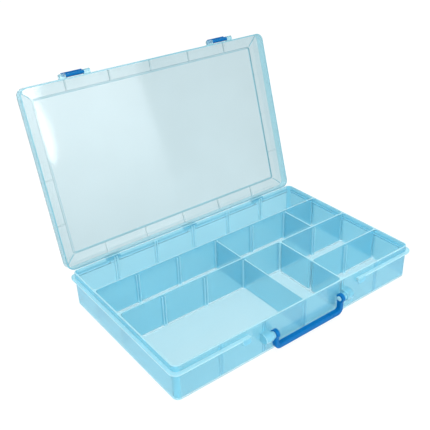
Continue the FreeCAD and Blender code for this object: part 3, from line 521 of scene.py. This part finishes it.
def lid_wall(shut, face, corners):
    """Whether a face of the lid is on its walls, its ribs or the lugs and clips that stand out."""
    places = [shut @ place for place in corners]
    if all(abs(place.x) > LID_X - LID_SKIN - TOUCH for place in places):
        return True
    if all(abs(place.y) > LID_Y - LID_SKIN - TOUCH for place in places):
        return True
    normal = shut.to_3x3() @ face.normal
    if abs(normal.z) > ALONG:
        return False
    return min(abs(normal.x), abs(normal.y)) > ALONG or lid_rib(normal, places)


# The faces that this picks get the edge finish, painted shade
def lid_edge(shut, face, corners):
    """Whether a face of the lid is on its mouth or on the step round its panel."""
    places = [shut @ place for place in corners]
    if all(abs(place.z - LID_MOUTH) < FLUSH for place in places):
        return True
    middle = sum(places, Vector()) / len(places)
    upright = abs((shut.to_3x3() @ face.normal).z) < ALONG
    beside_x = PANEL_X - LID_SKIN - TOUCH < abs(middle.x) < PANEL_X + TOUCH
    beside_y = PANEL_Y - LID_SKIN - TOUCH < abs(middle.y) < PANEL_Y + TOUCH
    return upright and (beside_x or beside_y)


class ARTBOX_OT_lid(bpy.types.Operator):
    """Clear lid with painted shade along its mouth, step and mitres, and sky-blue walls"""
    bl_idname = "artbox.lid"
    bl_label = "Lid"

    def execute(self, context):
        look = context.scene.art_box_finish
        face = translucent("lid_polypropylene", look.lid_colour, look.lid_clear, look.lid_frost,
                           LID_SHADE, LID_RELIEF)
        edge = translucent("lid_edge_painted_shade", look.lid_edge_shade_colour, look.edge_clear, look.lid_frost,
                           LID_EDGE_SHADE, LID_RELIEF)
        wall = translucent("lid_walls", look.lid_wall_colour, look.lid_wall_clear, look.lid_frost,
                           LID_WALL_SHADE, LID_RELIEF)
        cover = merged_copy("lid", "lid_moulding", "lid", "lid_plastic", face, edge, wall)
        shut = closed_lid()
        finish_faces(cover, SIDE, lambda item, corners: lid_wall(shut, item, corners))
        finish_faces(cover, EDGE, lambda item, corners: lid_edge(shut, item, corners))
        # The rounded strips of the step and the mitres take the same painted shade
        round_edges(cover, look.step_round, lambda item: sharp(item) and on_step(shut, item), EDGE)
        round_edges(cover, look.mitre_round, lambda item: on_mitre(shut, item), EDGE)
        smooth(cover)
        return {"FINISHED"}


class ARTBOX_OT_dividers(bpy.types.Operator):
    """Loose dividers of the tray's plastic with painted highlights on their edges"""
    bl_idname = "artbox.dividers"
    bl_label = "Dividers"

    def execute(self, context):
        look = context.scene.art_box_finish
        face = translucent("divider_polypropylene", look.tray_colour, look.tray_clear, look.tray_frost,
                           DIVIDER_SHADE, TRAY_RELIEF)
        edge = translucent("divider_edge_highlights", look.edge_highlight_colour, look.edge_clear, look.tray_frost,
                           TRAY_EDGE_SHADE, TRAY_RELIEF)
        for name in ("divider_front", "divider_middle", "divider_right"):
            plate = merged_copy(name, f"{name}_plate", name, "divider_plastic", face, edge)
            # The rounded strips and the plates' edges take the edge finish, a painted highlight
            round_edges(plate, look.plate_round, sharp, EDGE)
            finish_faces(plate, EDGE, lambda item, corners: abs(item.normal.x) < FACING)
            smooth(plate)
        return {"FINISHED"}


def off_barrel(edge, pivot):
    """Whether an outer edge of a latch lies on its plate, away from the barrel round its pivot."""
    return edge.is_convex and all((vertex.co - pivot).yz.length > BARREL for vertex in edge.verts)


class ARTBOX_OT_fittings(bpy.types.Operator):
    """Strong-blue plastic of the handle and the latches"""
    bl_idname = "artbox.fittings"
    bl_label = "Handle and latches"

    def execute(self, context):
        look = context.scene.art_box_finish
        blue = fitting_plastic("fitting_plastic", look.fitting_colour, look.fitting_frost)
        handle = merged_copy("carry_handle", "carry_handle_moulding", "carry_handle", "handle_plastic", blue)
        smooth(handle)
        for name in ("latch_left", "latch_right"):
            latch = merged_copy(name, f"{name}_moulding", name, "latch_plastic", blue)
            pivot = Vector(joint(f"{name}_pivot")["pos_m"])
            round_edges(latch, look.plate_round, lambda item: sharp(item) and off_barrel(item, pivot))
            smooth(latch)
        return {"FINISHED"}


def product(nodes, links, first):
    """A node that multiplies a value by its second input."""
    node = nodes.new("ShaderNodeMath")
    node.operation = "MULTIPLY"
    links.new(first, node.inputs[0])
    return node


def seen_share(nodes, links):
    """1 for a ray that the camera, a gloss or a clear face sends, 0 for light that falls on the object."""
    path = nodes.new("ShaderNodeLightPath")
    total = path.outputs["Is Camera Ray"]
    for name in ("Is Glossy Ray", "Is Transmission Ray"):
        either = nodes.new("ShaderNodeMath")
        either.operation = "MAXIMUM"
        links.new(total, either.inputs[0])
        links.new(path.outputs[name], either.inputs[1])
        total = either.outputs["Value"]
    return total


def white_room(ambient):
    """A white world: plain white where it is seen, and soft light on the object."""
    world = bpy.data.worlds.new("white_room")
    bpy.context.scene.world = world
    world.use_nodes = True
    nodes, links = world.node_tree.nodes, world.node_tree.links
    seen, lit = nodes["Background"], nodes.new("ShaderNodeBackground")
    for light, colour, strength in ((seen, WHITE, 1.0), (lit, ROOM_LIGHT, ambient)):
        light.inputs["Color"].default_value = colour
        light.inputs["Strength"].default_value = strength
    surface = mixed(nodes, links, seen_share(nodes, links), lit.outputs["Background"],
                    seen.outputs["Background"])
    links.new(surface, nodes["World Output"].inputs["Surface"])


def white_floor(side):
    """A white floor that keeps a faint shadow of the box and doesn't hide it from a camera below."""
    bpy.ops.object.select_all(action="DESELECT")
    bpy.ops.mesh.primitive_plane_add(size=side, location=(0.0, 0.0, 0.0))
    floor = bpy.context.object
    floor.name = "studio_floor"
    material, nodes, links, shader = new_material("studio_white")
    shader.inputs["Base Color"].default_value = FLOOR_COLOUR
    shader.inputs["Roughness"].default_value = FLOOR_ROUGHNESS
    shader.inputs["Specular IOR Level"].default_value = 0.0
    glow = nodes.new("ShaderNodeEmission")
    glow.inputs["Color"].default_value = WHITE
    glow.inputs["Strength"].default_value = FLOOR_GLOW
    share = product(nodes, links, seen_share(nodes, links))
    share.inputs[1].default_value = FLOOR_GLOW_SHARE
    above = mixed(nodes, links, share.outputs["Value"], shader.outputs["BSDF"], glow.outputs["Emission"])
    below = product(nodes, links, nodes.new("ShaderNodeNewGeometry").outputs["Backfacing"])
    links.new(nodes.new("ShaderNodeLightPath").outputs["Is Camera Ray"], below.inputs[1])
    through = nodes.new("ShaderNodeBsdfTransparent")
    surface = mixed(nodes, links, below.outputs["Value"], above, through.outputs["BSDF"])
    links.new(surface, nodes["Material Output"].inputs["Surface"])
    floor.data.materials.append(material)


def softbox(name, place, aim, size, power, shape, spread):
    """A soft lamp that looks at a point, with a grid that narrows its light to a spread."""
    lamp = bpy.data.lights.new(name, "AREA")
    lamp.shape = shape
    lamp.size, lamp.size_y = size
    lamp.energy = power
    lamp.spread = spread
    stand = bpy.data.objects.new(name, lamp)
    bpy.context.scene.collection.objects.link(stand)
    stand.location = place
    stand.rotation_euler = (Vector(aim) - Vector(place)).to_track_quat("-Z", "Y").to_euler()


def photo_camera(stage):
    """The camera at the photograph's place and angle."""
    data = bpy.data.cameras.new("photo_camera")
    data.sensor_width = SENSOR_WIDTH
    data.lens = stage.lens
    data.clip_start, data.clip_end = NEAREST, FARTHEST
    camera = bpy.data.objects.new("photo_camera", data)
    bpy.context.scene.collection.objects.link(camera)
    turn = (Matrix.Rotation(-stage.azimuth, 4, "Z") @ Matrix.Rotation(math.pi / 2 - stage.elevation, 4, "X")
            @ Matrix.Rotation(stage.roll, 4, "Z"))
    camera.matrix_world = Matrix.Translation(stage.eye) @ turn
    bpy.context.scene.camera = camera


class ARTBOX_OT_stage(bpy.types.Operator):
    """White floor, white room, soft lamps and the camera"""
    bl_idname = "artbox.stage"
    bl_label = "Stage"

    def execute(self, context):
        stage = context.scene.art_box_stage
        context.scene.view_settings.view_transform = "Standard"
        for name, value in LIGHT_PATHS.items():
            setattr(context.scene.cycles, name, value)
        white_room(stage.ambient)
        white_floor(stage.floor_side)
        for lamp in SOFTBOXES:
            softbox(*lamp)
        photo_camera(stage)
        return {"FINISHED"}


class ARTBOX_PT_panel(bpy.types.Panel):
    """The box's pieces and its stage"""
    bl_idname = "ARTBOX_PT_panel"
    bl_label = "Art supply box"
    bl_space_type = "VIEW_3D"
    bl_region_type = "UI"
    bl_category = "Art box"

    def draw(self, context):
        for operator in OPERATORS:
            self.layout.operator(operator.bl_idname)
        for group in (context.scene.art_box_finish, context.scene.art_box_stage):
            for name in type(group).__annotations__:
                self.layout.prop(group, name)


OPERATORS = (ARTBOX_OT_tray, ARTBOX_OT_lid, ARTBOX_OT_dividers, ARTBOX_OT_fittings, ARTBOX_OT_stage)
CLASSES = (ArtBoxFinish, ArtBoxStage, *OPERATORS, ARTBOX_PT_panel)


def register():
    """Registers the classes and hangs the settings on the scene."""
    for item in CLASSES:
        bpy.utils.register_class(item)
    bpy.types.Scene.art_box_finish = PointerProperty(type=ArtBoxFinish)
    bpy.types.Scene.art_box_stage = PointerProperty(type=ArtBoxStage)


def unregister():
    """Takes everything back."""
    del bpy.types.Scene.art_box_stage
    del bpy.types.Scene.art_box_finish
    for item in reversed(CLASSES):
        bpy.utils.unregister_class(item)


def main():
    """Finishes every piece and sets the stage."""
    register()
    bpy.ops.artbox.tray()
    bpy.ops.artbox.lid()
    bpy.ops.artbox.dividers()
    bpy.ops.artbox.fittings()
    bpy.ops.artbox.stage()


if __name__ == "__main__":
    main()
